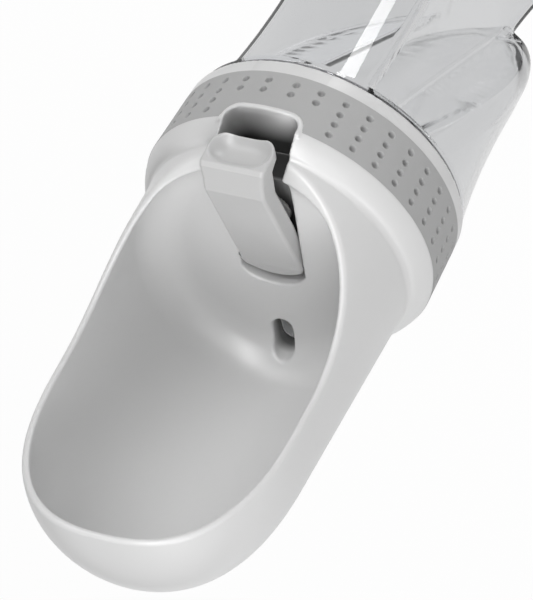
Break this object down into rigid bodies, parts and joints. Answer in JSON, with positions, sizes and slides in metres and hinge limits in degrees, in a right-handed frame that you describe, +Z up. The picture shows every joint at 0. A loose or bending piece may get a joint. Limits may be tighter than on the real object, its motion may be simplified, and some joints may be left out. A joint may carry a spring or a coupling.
{
  "type": "dog travel water bottle",
  "caption": "Clear hand-grip water bottle with a screw-on head: a banded collar, a scoop drinking bowl and a thumb lever that opens a valve into the bowl.",
  "frame": {"origin": "centre of the base, on the plane that the bottle stands on", "axes": "+Z up along the bottle's axis toward the bowl's domed end; -Y is the side that the bowl opens to and the lever's thumb pad is on; +X to the right seen from -Y"},
  "size_m": [0.075, 0.0763, 0.2603],
  "materials": {
    "clear": "clear colourless plastic, polished",
    "shell": "light grey moulded plastic, satin",
    "lever_shell": "light grey moulded plastic, satin",
    "grip": "mid grey soft-touch rubber with small dimples",
    "white_plastic": "white moulded plastic",
    "silicone": "milky silicone",
    "black_rubber": "black rubber",
    "steel": "stainless steel"
  },
  "bodies": {
    "bottle": {"bottle": "clear"},
    "gasket": {"neck_gasket": "silicone"},
    "head": {"drinking_bowl": "shell", "grip_band": "grip", "inner_lid": "white_plastic", "duct_cover": "white_plastic", "duct_gasket": "silicone", "duct_seal": "silicone", "duct_screws": "steel", "stem_seal": "black_rubber", "seal_retainer": "white_plastic", "plunger_spring": "steel", "lever_pin": "steel"},
    "lever": {"thumb_lever": "lever_shell"},
    "valve": {"valve_plunger": "white_plastic", "valve_disc": "black_rubber", "stem_screw": "steel"}
  },
  "joints": [
    {"name": "head_lift", "type": "slide", "parent": "bottle", "child": "gasket", "axis": [0, 0, 1], "range_m": [0, 0.0091]},
    {"name": "head_turn", "type": "hinge", "parent": "gasket", "child": "head", "pos_m": [0, 0, 0.137], "axis": [0, 0, 1], "range_deg": [0, 810]},
    {"name": "lever_press", "type": "hinge", "parent": "head", "child": "lever", "pos_m": [0, 0.001, 0.1654], "axis": [-1, 0, 0], "range_deg": [-10, 0], "stiffness_Nm_per_rad": 0.12, "springref_deg": -20.05},
    {"name": "valve_lift", "type": "slide", "parent": "head", "child": "valve", "axis": [0, 0, 1], "range_m": [-0.0023, 0], "deforming": ["plunger_spring"]}
  ],
  "couplings": [
    {"joint": "head_lift", "follows": "head_turn", "m_per_rad": 0.00063662},
    {"joint": "valve_lift", "follows": "lever_press", "m_per_rad": 0.01293}
  ]
}
